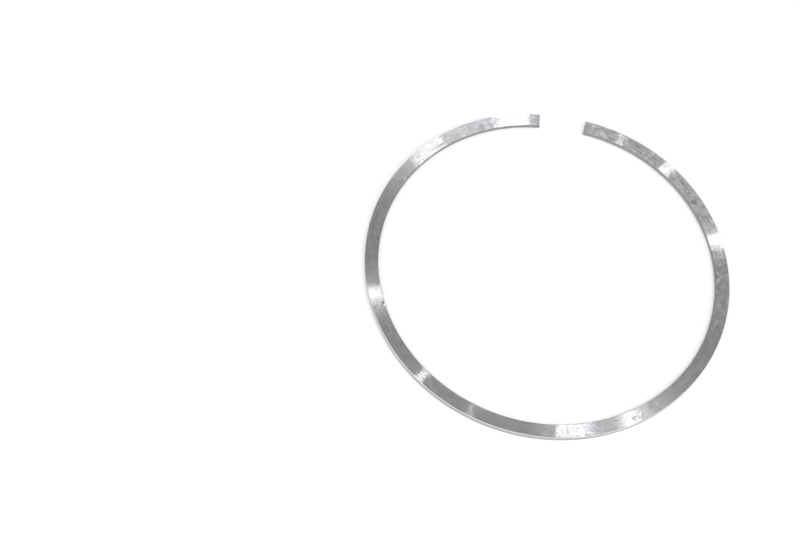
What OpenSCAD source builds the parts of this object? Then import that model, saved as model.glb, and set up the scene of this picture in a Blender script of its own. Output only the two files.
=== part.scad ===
// Keystone compression ring of a diesel piston, lying free: sprung open, and wider across than along its gap

/* [Ring] */
// Diameter of the cylinder that the ring closes into
bore_d = 108; // [70:0.5:160]
// Radial width of the section, from the inner face to the running face
radial_w = 4.25; // [2.5:0.05:7]
// Axial height at the running face, before its edges are bevelled
axial_h = 2.4; // [1.8:0.05:5]
// Slope of each flank, which thins the section towards the inner face
flank_angle = 7.5; // [0:0.5:9]

/* [Gap] */
// Gap between the two ends while the ring lies free
free_gap = 14.5; // [4:0.5:22]
// Gap between the two ends once the ring is closed into its cylinder
closed_gap = 0.45; // [0.1:0.05:1.5]

/* [Edges] */
// Bevel along the two edges of the running face
running_edge = 0.15; // [0.05:0.05:0.5]
// Bevel along the two edges of the inner face
inner_edge = 0.15; // [0.05:0.05:0.3]

/* [Hidden] */
$fn = 360;

// A ring that presses evenly on its cylinder springs open to a curve that is flatter than the closed ring
// by opening * (1 + cos(angle)), where the angle is counted from the back of the ring to each end.
mid_r = (bore_d - radial_w) / 2;
opening = (free_gap - closed_gap) / (3 * PI * mid_r);
end_angle = 180 - closed_gap / (2 * mid_r) * 180 / PI;

// The curve is drawn as arcs on each side, and each arc starts on the radial plane where the last one stops.
// Radii and turns are whole thousandths, so that the two planes are one and the same.
arcs = 9;
arc_angle = end_angle / arcs;
function snap(size) = round(size * 1000) / 1000;
function flatness(i) = 1 - opening * (1 + cos((i + 0.5) * arc_angle));
function radius(i) = snap(mid_r / flatness(i));
function turn(i) = snap(arc_angle * flatness(i));
function heading(i) = i == 0 ? 0 : heading(i - 1) + turn(i - 1);
function inward(i) = [-sin(heading(i)), cos(heading(i))];
function shift(i) = i == 0 ? [0, radius(0) - mid_r] : (radius(i) - radius(i - 1)) * inward(i);
function centre(i) = i == 0 ? shift(0) : centre(i - 1) + shift(i);

// The origin lies midway between the back of the ring and the outer corners of its ends
back_y = -mid_r - radial_w / 2;
end_y = centre(arcs - 1).y - (radius(arcs - 1) + radial_w / 2) * inward(arcs).y;
middle_y = (back_y + end_y) / 2;

// Half the height of the section at a depth in from the running face
function half_h(depth) = axial_h / 2 - depth * tan(flank_angle);
rest_h = half_h(running_edge);

// Upper half of the section's outline about the mid-line, from the running face to the inner face
upper_outline = [
    [radial_w / 2, half_h(0) - running_edge],
    [radial_w / 2 - running_edge, half_h(running_edge)],
    [inner_edge - radial_w / 2, half_h(radial_w - inner_edge)],
    [-radial_w / 2, half_h(radial_w) - inner_edge],
];

module section() {
    polygon([
        for (p = upper_outline) p,
        for (i = [len(upper_outline) - 1:-1:0]) [upper_outline[i].x, -upper_outline[i].y],
    ]);
}

// Arc number i and the ones after it, from the back of the ring to one of its ends
module half_ring(i = 0) {
    translate(shift(i)) {
        rotate_extrude(start = heading(i) - 90, angle = turn(i))
            translate([radius(i), 0])
                section();
        if (i + 1 < arcs) half_ring(i + 1);
    }
}

module piston_ring() {
    color("silver")
        translate([0, -middle_y, rest_h]) {
            half_ring();
            mirror([1, 0, 0])
                half_ring();
        }
}

piston_ring();
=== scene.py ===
# A split piston ring, lying free on a white table under studio lamps
import math

import bmesh
import bpy
from mathutils import Euler, Matrix, Vector


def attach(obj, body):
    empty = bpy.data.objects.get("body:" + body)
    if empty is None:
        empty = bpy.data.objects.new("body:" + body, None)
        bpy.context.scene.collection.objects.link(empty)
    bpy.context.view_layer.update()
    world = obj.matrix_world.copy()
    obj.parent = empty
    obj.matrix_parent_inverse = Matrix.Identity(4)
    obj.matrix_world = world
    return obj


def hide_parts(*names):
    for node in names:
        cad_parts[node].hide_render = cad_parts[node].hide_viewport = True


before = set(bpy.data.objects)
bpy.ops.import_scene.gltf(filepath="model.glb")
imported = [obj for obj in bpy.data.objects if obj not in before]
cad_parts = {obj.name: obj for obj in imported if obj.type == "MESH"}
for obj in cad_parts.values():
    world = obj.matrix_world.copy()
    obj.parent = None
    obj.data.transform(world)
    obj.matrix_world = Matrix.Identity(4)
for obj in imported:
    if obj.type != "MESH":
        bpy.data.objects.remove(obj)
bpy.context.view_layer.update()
mm = 0.001


def linear(hexColour):
    channels = [int(hexColour[i:i + 2], 16) / 255 for i in (1, 3, 5)]
    return [c / 12.92 if c <= 0.04045 else ((c + 0.055) / 1.055) ** 2.4 for c in channels] + [1.0]


def addNode(tree, kind, settings=None, links=None):
    node = tree.nodes.new(kind)
    for name, value in (settings or {}).items():
        if isinstance(name, int) or name in node.inputs:
            node.inputs[name].default_value = value
        else:
            setattr(node, name, value)
    for name, source in (links or {}).items():
        tree.links.new(source, node.inputs[name])
    return node


# the ring's own sizes, in millimetres and degrees
ring = {
    "boreWidth": 108.0,
    "radialWidth": 4.25,
    "axialHeight": 2.4,  # at the running face
    "flankSlope": 7.5,
    "freeGap": 14.5,
    "closedGap": 0.45,
    "bevel": 0.15,  # along all four edges
    "edgeRound": 0.03,  # both sides of a bevel, and round the two ends
    "crown": 0.03,  # bulge of the running face
    "spacing": 0.22,  # between stations along the ring
    "roundSteps": 2,
    "flankSteps": 8,
    "wallSteps": 4,
    "wallHold": 0.015,  # the first and last share of a wall, kept flat beside its round edges
}
# A knock has raised a small burr on the inner top edge. Its two sides carry painted light: the side towards
# the left end is painted shade, in the dull inner finish, and the other a painted highlight, in the bright
# bevel finish
burr = {
    "along": 101.1,  # millimetres from the left end
    "length": 1.2,
    "reach": 0.9,  # from the inner face outwards
    "height": 0.28,
    "shown": 0.05,  # what is lifted more than this gets the painted shade or painted highlight of its side
    # finishes that paint shade on the side towards the left end and a highlight on the other
    "sides": ("inside", "edge"),
    "spacing": 0.05,
}
midRadius = (ring["boreWidth"] - ring["radialWidth"]) / 2
endAngle = math.pi - ring["closedGap"] / (2 * midRadius)
ringLength = 2 * endAngle * midRadius
halfWidth = ring["radialWidth"] / 2
slope = math.tan(math.radians(ring["flankSlope"]))


def halfHeight(x):
    return ring["axialHeight"] / 2 - (halfWidth - x) * slope


def ringStations():
    count = round(ringLength / ring["spacing"])
    stations = [ringLength * i / count for i in range(count + 1)]
    clear = (burr["length"] + ring["spacing"]) / 2  # the burr has closer stations of its own
    stations = [along for along in stations if abs(along - burr["along"]) > clear]
    fineCount = round(burr["length"] / burr["spacing"])
    stations += [burr["along"] + burr["length"] * (i / fineCount - 0.5) for i in range(fineCount + 1)]
    stations += [ring["edgeRound"], ringLength - ring["edgeRound"]]
    return sorted(stations)


def ringCurve(stations):
    # a ring that presses evenly on its cylinder springs open to this curve; angles count from its back
    opening = (ring["freeGap"] - ring["closedGap"]) / (3 * math.pi * midRadius)

    def heading(angle):
        return angle - opening * (angle + math.sin(angle))

    def walk(angles):
        x, y, last = 0.0, -midRadius, 0.0
        for angle in angles:
            middle, step = heading((angle + last) / 2), (angle - last) * midRadius
            x, y, last = x + math.cos(middle) * step, y + math.sin(middle) * step, angle
            yield x, y, heading(angle)

    angles = [along / midRadius - endAngle for along in stations]
    left = list(walk(reversed([a for a in angles if a < 0])))
    right = list(walk([a for a in angles if a >= 0]))
    _, endY, endHeading = right[-1]
    backY = -midRadius - halfWidth
    frontY = endY - math.cos(endHeading) * halfWidth
    lift = (backY + frontY) / 2
    return [(x, y - lift, h) for x, y, h in left[::-1] + right]


def roundedOutline(corners, walls):
    # corners in order, each softened by an arc; walls gives the steps and the finish of the wall after each
    arcs = []
    for i, corner in enumerate(corners):
        before = (corners[i - 1] - corner).normalized()
        after = (corners[(i + 1) % len(corners)] - corner).normalized()
        halfAngle = before.angle(after) / 2
        centre = corner + (before + after).normalized() * (ring["edgeRound"] / math.sin(halfAngle))
        reach = ring["edgeRound"] / math.tan(halfAngle)
        first, last = corner + before * reach - centre, corner + after * reach - centre
        turn = first.angle_signed(last)
        spin = [Matrix.Rotation(-turn * k / ring["roundSteps"], 2) for k in range(ring["roundSteps"] + 1)]
        arcs.append([centre + m @ first for m in spin])
    outline, finishes = [], []
    for i, (steps, finish) in enumerate(walls):
        shares = [k / steps for k in range(1, steps)]
        if shares:
            shares = [ring["wallHold"], *shares, 1 - ring["wallHold"]]
        goal = arcs[(i + 1) % len(arcs)][0]
        points = arcs[i] + [arcs[i][-1].lerp(goal, share) for share in shares]
        outline += points
        finishes += [finish] * len(points)
    return outline, finishes


def ringSection():
    bevel = ring["bevel"]
    upper = [Vector((halfWidth, halfHeight(halfWidth) - bevel)),
             Vector((halfWidth - bevel, halfHeight(halfWidth - bevel))),
             Vector((bevel - halfWidth, halfHeight(bevel - halfWidth))),
             Vector((-halfWidth, halfHeight(-halfWidth) - bevel))]
    lower = [Vector((p.x, -p.y)) for p in reversed(upper)]
    flank, wall = ring["flankSteps"], ring["wallSteps"]
    walls = [(1, "edge"), (flank, "flank"), (1, "inside"), (wall, "inside"),
             (1, "inside"), (flank, "flank"), (1, "edge"), (wall, "running")]
    outline, finishes = roundedOutline(upper + lower, walls)
    for point, finish in zip(outline, finishes):
        if finish == "running":  # the running face bulges by its crown
            point.x -= ring["crown"] * (point.y / halfHeight(halfWidth)) ** 2
    return outline, finishes


def burrLift(along, point):
    # how far the burr lifts a point of the section: most at the top, nothing at the lower flank
    ends = 1 - abs(along - burr["along"]) / (burr["length"] / 2)
    inwards = 1 - (point.x + halfWidth) / burr["reach"]
    share = (point.y / halfHeight(point.x) + 1) / 2
    return burr["height"] * max(ends, 0) * max(inwards, 0) * share


def makeRing(finishNames):
    stations = ringStations()
    section, finishes = ringSection()
    restHeight = -min(p.y for p in section)
    around = [0.0]
    for a, b in zip(section, section[1:] + section[:1]):
        around.append(around[-1] + (b - a).length)
    flankPoints = [k for k, p in enumerate(section) if finishes[k] == "flank" and p.y > 0]
    flankMiddle = (around[flankPoints[0]] + around[flankPoints[-1] + 1]) / 2
    bm = bmesh.new()
    # millimetres from the left end, and inwards from the top flank's mid-line
    uvs = bm.loops.layers.uv.new("ringUv")
    rows = []
    for i, (x, y, heading) in enumerate(ringCurve(stations)):
        outX, outY = math.sin(heading), -math.cos(heading)
        inset = ring["edgeRound"] if i in (0, len(stations) - 1) else 0
        row = []
        for point in section:
            reach = point.x * (1 - inset / halfWidth)
            height = point.y * (1 - inset / halfHeight(0)) + burrLift(stations[i], point) + restHeight
            row.append(bm.verts.new(((x + outX * reach) * mm, (y + outY * reach) * mm, height * mm)))
        rows.append(row)
    count = len(section)
    for i in range(len(rows) - 1):
        for k in range(count):
            n = (k + 1) % count
            face = bm.faces.new((rows[i][k], rows[i + 1][k], rows[i + 1][n], rows[i][n]))
            for loop, (u, v) in zip(face.loops, ((i, k), (i + 1, k), (i + 1, k + 1), (i, k + 1))):
                loop[uvs].uv = (stations[u], around[v] - flankMiddle)
            face.smooth = True
            middle = (stations[i] + stations[i + 1]) / 2
            # faces lifted by the burr take a painted shade or painted highlight instead of the flank finish
            paintedBurrSide = finishes[k] == "flank" and burrLift(middle, section[n]) > burr["shown"]
            finish = burr["sides"][middle > burr["along"]] if paintedBurrSide else finishes[k]
            face.material_index = finishNames.index(finish)
    for row in (rows[0], rows[-1]):
        face = bm.faces.new(row)
        face.material_index = finishNames.index("edge")
        for loop in face.loops:
            loop[uvs].uv = (loop.vert.co.x / mm, loop.vert.co.z / mm)
        for edge in face.edges:
            edge.smooth = False
    bmesh.ops.recalc_face_normals(bm, faces=bm.faces)
    mesh = bpy.data.meshes.new("pistonRing")
    bm.to_mesh(mesh)
    bm.free()
    made = bpy.data.objects.new("pistonRing", mesh)
    bpy.context.scene.collection.objects.link(made)
    return made


# Cast iron, lapped while the ring turns: satin grey, drawn into fine lines that run round the ring. Along
# the lines it is nearly a mirror and across them it is matt, so a lamp shows as a bright band across
# the flank. Handling has left faint blotches, stronger towards the two ends. Lengths are millimetres.
lappedIron = {
    "dark": "#9c9c9a",
    "light": "#d6d6d6",
    "roughness": (0.130, 0.115),  # on the dark and on the light blotches
    "anisotropy": 1.0,
    "quarterTurn": 0.25,  # the gloss spreads across the lines
    "lineSpacing": 0.11,  # drawn coarser than the real lines
    "lineLean": (-0.425, 0.575),  # slope of a line's two sides, inwards
    "streakSpacing": 0.35,  # bundles of lines, drawn coarse enough to show
    "streakLength": 40.0,
    "streakLean": 0.2,
    "streakTone": 0.5,
    "frayLength": 3.0,  # the lines waver over this length
    "frayLean": 0.002,
    "lineDetail": 2.0,  # finer layers in the noise of the streaks and the fray
    "midTone": 0.5,  # between the dark and the light colour
    "blotch": 1.75,
    "blotchGain": 1.7,
    "blotchDetail": 4.0,
    "blotchGrit": 0.6,  # how strong its finer layers are
    "blotchRight": (215.0, 262.0, 0.4, 1.0),  # from, to, and how strong before and after
    "blotchLeft": (20.0, 62.0, 0.35, 0.0),
}
noiseMiddle = 0.5  # what a noise texture is on average

# Scratches, rubs and spots on the top flank. Places are millimetres from the left end and inwards from the
# mid-line, sizes are half the length and half the width, and tone lightens or darkens.
marks = [
    {"at": (261.95, 0.60), "turn": 31, "size": (2.3, 0.16), "tone": 0.9},
    {"at": (261.75, 0.93), "turn": 31, "size": (2.1, 0.22), "tone": -0.7},
    {"at": (262.15, 0.27), "turn": 31, "size": (1.8, 0.22), "tone": -0.6},
    {"at": (51.10, -1.27), "turn": -8, "size": (1.5, 0.18), "tone": 0.7},
    {"at": (52.85, -0.93), "turn": 43, "size": (1.0, 0.18), "tone": 0.7},
    {"at": (53.75, 0.90), "turn": 76, "size": (1.7, 0.18), "tone": 0.7},
    {"at": (280.3, 0.44), "turn": 20, "size": (1.3, 0.8), "tone": -0.6},
    {"at": (284.4, -0.55), "turn": -35, "size": (1.1, 0.28), "tone": -0.6},
    {"at": (306.8, 0.44), "turn": 60, "size": (0.8, 0.22), "tone": 0.8},
    {"at": (322.7, -1.29), "turn": 0, "size": (0.6, 0.45), "tone": 0.6},
    {"at": (173.6, 0.00), "turn": 90, "size": (3.0, 0.7), "tone": -0.35},
    {"at": (193.8, -0.17), "turn": 75, "size": (1.2, 0.9), "tone": -0.6},
    {"at": (196.0, 0.09), "turn": 0, "size": (0.7, 0.6), "tone": 0.6},
    {"at": (202.0, -0.18), "turn": 0, "size": (0.7, 0.5), "tone": 0.5},
]


def lappedCastIron():
    material = bpy.data.materials.new("lappedCastIron")
    material.use_nodes = True
    tree = material.node_tree
    tree.nodes.clear()
    place = addNode(tree, "ShaderNodeUVMap", {"uv_map": "ringUv"})
    along = addNode(tree, "ShaderNodeSeparateXYZ", links={"Vector": place.outputs["UV"]})
    tangent = addNode(tree, "ShaderNodeTangent", {"direction_type": "UV_MAP", "uv_map": "ringUv"})
    surface = addNode(tree, "ShaderNodeNewGeometry")

    # the sides of the lines lean the surface across the ring, and broader streaks lean with them
    line = addNode(tree, "ShaderNodeMath", {"operation": "PINGPONG", 1: lappedIron["lineSpacing"] / 2},
                   {0: along.outputs["Y"]})
    lineLean = addNode(tree, "ShaderNodeMapRange", {
        "From Max": lappedIron["lineSpacing"] / 2,
        "To Min": lappedIron["lineLean"][0], "To Max": lappedIron["lineLean"][1],
    }, {"Value": line.outputs[0]})
    streakPlace = addNode(tree, "ShaderNodeMapping", {
        "Scale": (1 / lappedIron["streakLength"], 1 / lappedIron["streakSpacing"], 1),
    }, {"Vector": place.outputs["UV"]})
    streak = addNode(tree, "ShaderNodeTexNoise", {
        "noise_dimensions": "2D", "Scale": 1.0, "Detail": lappedIron["lineDetail"],
    }, {"Vector": streakPlace.outputs["Vector"]})
    streakLean = addNode(tree, "ShaderNodeMapRange", {
        "To Min": -lappedIron["streakLean"], "To Max": lappedIron["streakLean"],
    }, {"Value": streak.outputs[0]})
    lean = addNode(tree, "ShaderNodeMath", {"operation": "ADD"},
                   {0: lineLean.outputs[0], 1: streakLean.outputs[0]})
    across = addNode(tree, "ShaderNodeVectorMath", {"operation": "CROSS_PRODUCT"},
                     {0: surface.outputs["Normal"], 1: tangent.outputs["Tangent"]})
    leaning = addNode(tree, "ShaderNodeVectorMath", {"operation": "SCALE"},
                      {0: across.outputs["Vector"], "Scale": lean.outputs[0]})

    # the lines aren't quite true on their way round, which frays the bands
    frayPlace = addNode(tree, "ShaderNodeMapping", {
        "Scale": (1 / lappedIron["frayLength"], 1 / lappedIron["streakSpacing"], 1),
    }, {"Vector": place.outputs["UV"]})
    fray = addNode(tree, "ShaderNodeTexNoise", {
        "noise_dimensions": "2D", "Scale": 1.0, "Detail": lappedIron["lineDetail"],
    }, {"Vector": frayPlace.outputs["Vector"]})
    frayLean = addNode(tree, "ShaderNodeMapRange", {
        "To Min": -lappedIron["frayLean"], "To Max": lappedIron["frayLean"],
    }, {"Value": fray.outputs[0]})
    waving = addNode(tree, "ShaderNodeVectorMath", {"operation": "SCALE"},
                     {0: tangent.outputs["Tangent"], "Scale": frayLean.outputs[0]})
    sway = addNode(tree, "ShaderNodeVectorMath", {"operation": "ADD"},
                   {0: leaning.outputs["Vector"], 1: waving.outputs["Vector"]})
    tilted = addNode(tree, "ShaderNodeVectorMath", {"operation": "ADD"},
                     {0: surface.outputs["Normal"], 1: sway.outputs["Vector"]})
    normal = addNode(tree, "ShaderNodeVectorMath", {"operation": "NORMALIZE"}, {0: tilted.outputs["Vector"]})

    # blotches, streaks and marks shift the tone between dark and light
    blotch = addNode(tree, "ShaderNodeTexNoise", {
        "noise_dimensions": "2D", "Scale": 1 / lappedIron["blotch"],
        "Detail": lappedIron["blotchDetail"], "Roughness": lappedIron["blotchGrit"],
    }, {"Vector": place.outputs["UV"]})
    strengths = []
    for name in ("blotchRight", "blotchLeft"):
        begin, end, before, after = lappedIron[name]
        strengths.append(addNode(tree, "ShaderNodeMapRange", {
            "interpolation_type": "SMOOTHSTEP",
            "From Min": begin, "From Max": end, "To Min": before, "To Max": after,
        }, {"Value": along.outputs["X"]}))
    strength = addNode(tree, "ShaderNodeMath", {"operation": "ADD"},
                       {0: strengths[0].outputs[0], 1: strengths[1].outputs[0]})
    centred = addNode(tree, "ShaderNodeMath", {"operation": "SUBTRACT", 1: noiseMiddle},
                      {0: blotch.outputs[0]})
    weighed = addNode(tree, "ShaderNodeMath", {"operation": "MULTIPLY"},
                      {0: centred.outputs[0], 1: strength.outputs[0]})
    tone = addNode(tree, "ShaderNodeMath", {
        "operation": "MULTIPLY_ADD", 1: lappedIron["blotchGain"], 2: lappedIron["midTone"],
    }, {0: weighed.outputs[0]})
    drawn = addNode(tree, "ShaderNodeMath", {"operation": "SUBTRACT", 1: noiseMiddle},
                    {0: streak.outputs[0]})
    tone = addNode(tree, "ShaderNodeMath", {"operation": "MULTIPLY_ADD", 1: lappedIron["streakTone"]},
                   {0: drawn.outputs[0], 2: tone.outputs[0]})
    for mark in marks:
        markPlace = addNode(tree, "ShaderNodeMapping", {
            "vector_type": "TEXTURE", "Location": (*mark["at"], 0),
            "Rotation": (0, 0, math.radians(mark["turn"])), "Scale": (*mark["size"], 1),
        }, {"Vector": place.outputs["UV"]})
        spot = addNode(tree, "ShaderNodeTexGradient", {"gradient_type": "SPHERICAL"},
                       {"Vector": markPlace.outputs["Vector"]})
        tone = addNode(tree, "ShaderNodeMath", {"operation": "MULTIPLY_ADD", 1: mark["tone"]},
                       {0: spot.outputs[1], 2: tone.outputs[0]})
    colour = addNode(tree, "ShaderNodeMix", {
        "data_type": "RGBA", 6: linear(lappedIron["dark"]), 7: linear(lappedIron["light"]),
    }, {0: tone.outputs[0]})
    darkRough, lightRough = lappedIron["roughness"]
    roughness = addNode(tree, "ShaderNodeMapRange", {"To Min": darkRough, "To Max": lightRough},
                        {"Value": tone.outputs[0]})

    shader = addNode(tree, "ShaderNodeBsdfPrincipled", {
        "Metallic": 1.0,
        "Anisotropic": lappedIron["anisotropy"],
        "Anisotropic Rotation": lappedIron["quarterTurn"],
    }, {"Base Color": colour.outputs[2], "Roughness": roughness.outputs[0],
        "Tangent": tangent.outputs["Tangent"], "Normal": normal.outputs["Vector"]})
    addNode(tree, "ShaderNodeOutputMaterial", links={"Surface": shader.outputs["BSDF"]})
    return material


# The other finishes have a fine grain, given in millimetres and drawn coarser than the real one.
# Cast iron straight from the grinding wheel, on the outer bevels and the two ends: bright, with a soft
# gloss. It also paints the highlight on one side of the burr
groundIron = {"dark": "#d4d4d3", "light": "#e6e6e5", "roughness": (0.30, 0.22), "grain": 0.4}
# Hard chrome, lapped to the cylinder: a cool, even grey with a soft gloss
lappedChrome = {"dark": "#9fa0a2", "light": "#acadae", "roughness": (0.34, 0.26), "grain": 0.6}
# Cast iron as it came off the lathe, on the inner face and its bevels: mid grey, a little warm, and dull. It
# also paints the shade on one side of the burr
turnedIron = {"dark": "#858381", "light": "#a2a09d", "roughness": (0.5, 0.4), "grain": 0.3}
grainNoise = {"detail": 3.0, "grit": 0.6, "low": 0.3, "high": 0.7}  # low is all dark, high is all light


def grainedMetal(name, finish):
    material = bpy.data.materials.new(name)
    material.use_nodes = True
    tree = material.node_tree
    tree.nodes.clear()
    place = addNode(tree, "ShaderNodeUVMap", {"uv_map": "ringUv"})
    grain = addNode(tree, "ShaderNodeTexNoise", {
        "noise_dimensions": "2D", "Scale": 1 / finish["grain"],
        "Detail": grainNoise["detail"], "Roughness": grainNoise["grit"],
    }, {"Vector": place.outputs["UV"]})
    tone = addNode(tree, "ShaderNodeMapRange", {
        "From Min": grainNoise["low"], "From Max": grainNoise["high"],
    }, {"Value": grain.outputs[0]})
    colour = addNode(tree, "ShaderNodeMix", {
        "data_type": "RGBA", 6: linear(finish["dark"]), 7: linear(finish["light"]),
    }, {0: tone.outputs[0]})
    darkRough, lightRough = finish["roughness"]
    roughness = addNode(tree, "ShaderNodeMapRange", {"To Min": darkRough, "To Max": lightRough},
                        {"Value": tone.outputs[0]})
    shader = addNode(tree, "ShaderNodeBsdfPrincipled", {"Metallic": 1.0},
                     {"Base Color": colour.outputs[2], "Roughness": roughness.outputs[0]})
    addNode(tree, "ShaderNodeOutputMaterial", links={"Surface": shader.outputs["BSDF"]})
    return material


ringFinishes = {
    "flank": lappedCastIron(),
    "edge": grainedMetal("groundCastIron", groundIron),
    "running": grainedMetal("lappedChrome", lappedChrome),
    "inside": grainedMetal("turnedCastIron", turnedIron),
}
pistonRing = makeRing(list(ringFinishes))
for finish in ringFinishes.values():
    pistonRing.data.materials.append(finish)
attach(pistonRing, "root")
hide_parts("piston_ring")
print("ring made,", len(pistonRing.data.polygons), "faces")

# White acrylic light table, frosted: it glows a little, so shadows on it stay faint
table = {"halfWidth": 3.0, "colour": "#c8c8c8", "roughness": 0.7, "glow": 0.35, "glowColour": "#ffffff"}


def frostedAcrylic():
    material = bpy.data.materials.new("frostedAcrylic")
    material.use_nodes = True
    shader = material.node_tree.nodes["Principled BSDF"]
    shader.inputs["Base Color"].default_value = linear(table["colour"])
    shader.inputs["Roughness"].default_value = table["roughness"]
    shader.inputs["Emission Color"].default_value = linear(table["glowColour"])
    shader.inputs["Emission Strength"].default_value = table["glow"]
    return material


def makeTable():
    bm = bmesh.new()
    bmesh.ops.create_grid(bm, x_segments=1, y_segments=1, size=table["halfWidth"])
    mesh = bpy.data.meshes.new("table")
    bm.to_mesh(mesh)
    bm.free()
    made = bpy.data.objects.new("table", mesh)
    bpy.context.scene.collection.objects.link(made)
    made.data.materials.append(frostedAcrylic())


makeTable()

# where the photograph was taken from, seen from the ring
view = {
    "azimuth": -13.15,
    "elevation": 62.15,
    "distance": 349.1 * mm,
    "turn": (26.06, -2.77, 8.63),  # the camera's own tilt, roll and pan
    "lens": 50.0,
    "sensor": 36.0,
    "nearest": 0.01,
}


def awayFrom(azimuth, elevation):
    a, e = math.radians(azimuth), math.radians(elevation)
    return Vector((math.sin(a) * math.cos(e), -math.cos(a) * math.cos(e), math.sin(e)))


def makeCamera():
    data = bpy.data.cameras.new("camera")
    data.lens, data.sensor_width = view["lens"], view["sensor"]
    data.clip_start = view["nearest"]
    made = bpy.data.objects.new("camera", data)
    made.location = awayFrom(view["azimuth"], view["elevation"]) * view["distance"]
    made.rotation_euler = Euler([math.radians(t) for t in view["turn"]])
    bpy.context.scene.collection.objects.link(made)
    bpy.context.scene.camera = made


makeCamera()

# Strip lamps hang level over the table, and most show in the lapped lines as two bright bands, on opposite
# sides of the ring. Dim panels soften the bands of lampC and light the right end, and two broad lamps light
# the grey between the bands. Places and sizes are in metres. The long side lies at the given turn, clockwise
# from the gap, and glow is how bright the face is.
lamps = {
    "lampA": {"place": (-0.119, -0.241, 0.8), "turn": 16.4, "width": 0.007, "length": 0.380,
              "glow": 14.2, "colour": "#ffffff"},
    "lampB": {"place": (-0.275, -0.081, 0.8), "turn": 37.8, "width": 0.022, "length": 0.330,
              "glow": 13.2, "colour": "#fff9f8"},
    "lampC": {"place": (-0.402, 0.243, 0.8), "turn": 77.4, "width": 0.044, "length": 0.520,
              "glow": 7.7, "colour": "#ffffff"},
    "panelC": {"place": (-0.417, 0.252, 0.83), "turn": 77.4, "width": 0.180, "length": 0.520,
               "glow": 0.65, "colour": "#ffffff"},
    "panelA": {"place": (-0.055, -0.450, 0.83), "turn": 16.0, "width": 0.130, "length": 0.320,
               "glow": 1.4, "colour": "#ffffff"},
    "lampD": {"place": (0.140, 0.350, 0.8), "turn": 130.0, "width": 0.030, "length": 0.200,
              "glow": 5.2, "colour": "#fffcfb"},
    "lampE": {"place": (0.223, -0.170, 0.8), "turn": 171.5, "width": 0.100, "length": 0.300,
              "glow": 13.2, "colour": "#f9f8ff"},
    "lampF": {"place": (0.240, 0.190, 0.8), "turn": 153.6, "width": 0.036, "length": 0.420,
              "glow": 7.0, "colour": "#fffcfb"},
    "lampG": {"place": (1.115, -0.209, 0.8), "turn": 121.8, "width": 0.340, "length": 0.440,
              "glow": 13.8, "colour": "#ffffff"},
    "fill": {"place": (0.308, -0.240, 0.8), "turn": 149.5, "width": 0.342, "length": 0.310,
             "glow": 4.0, "colour": "#f5f3ff"},
    "softbox": {"place": (-0.485, -0.386, 0.8), "turn": 130.0, "width": 0.560, "length": 1.750,
                "glow": 1.2, "colour": "#ffffff"},
}


def makeLamp(name, lamp):
    data = bpy.data.lights.new(name, "AREA")
    data.shape = "RECTANGLE"
    data.size, data.size_y = lamp["width"], lamp["length"]
    data.energy = lamp["glow"] * math.pi * lamp["width"] * lamp["length"]
    data.color = linear(lamp["colour"])[:3]
    made = bpy.data.objects.new(name, data)
    made.location = lamp["place"]
    made.rotation_euler = (0, 0, -math.radians(lamp["turn"]))
    bpy.context.scene.collection.objects.link(made)


for name, lamp in lamps.items():
    makeLamp(name, lamp)

# A grey ceiling, and a white wall low on the near side that lights the bevels facing it
studio = {
    "colour": "#aeaeaf",
    "ceiling": 1.0,
    "wall": 3.5,
    "wallAzimuth": -13.15,
    "wallTop": (0.42, 0.66),  # it fades between these heights, as the sine of the elevation
    "wallSide": (0.0, 0.5),  # and between these cosines from its middle
}


def makeStudio():
    world = bpy.data.worlds.new("studio")
    bpy.context.scene.world = world
    world.use_nodes = True
    tree = world.node_tree
    tree.nodes.clear()
    direction = addNode(tree, "ShaderNodeTexCoord")
    height = addNode(tree, "ShaderNodeSeparateXYZ", links={"Vector": direction.outputs["Generated"]})
    below = addNode(tree, "ShaderNodeMapRange", {
        "interpolation_type": "SMOOTHSTEP", "To Min": 1.0, "To Max": 0.0,
        "From Min": studio["wallTop"][0], "From Max": studio["wallTop"][1],
    }, {"Value": height.outputs["Z"]})
    facing = addNode(tree, "ShaderNodeVectorMath", {
        "operation": "DOT_PRODUCT", 1: awayFrom(studio["wallAzimuth"], 0),
    }, {0: direction.outputs["Generated"]})
    beside = addNode(tree, "ShaderNodeMapRange", {
        "interpolation_type": "SMOOTHSTEP",
        "From Min": studio["wallSide"][0], "From Max": studio["wallSide"][1],
    }, {"Value": facing.outputs["Value"]})
    wall = addNode(tree, "ShaderNodeMath", {"operation": "MULTIPLY"},
                   {0: below.outputs[0], 1: beside.outputs[0]})
    strength = addNode(tree, "ShaderNodeMapRange", {"To Min": studio["ceiling"], "To Max": studio["wall"]},
                       {"Value": wall.outputs[0]})
    sky = addNode(tree, "ShaderNodeBackground", {"Color": linear(studio["colour"])},
                  {"Strength": strength.outputs[0]})
    addNode(tree, "ShaderNodeOutputWorld", links={"Surface": sky.outputs["Background"]})


makeStudio()
bpy.context.scene.view_settings.view_transform = "Standard"
print("table, camera and lamps set")
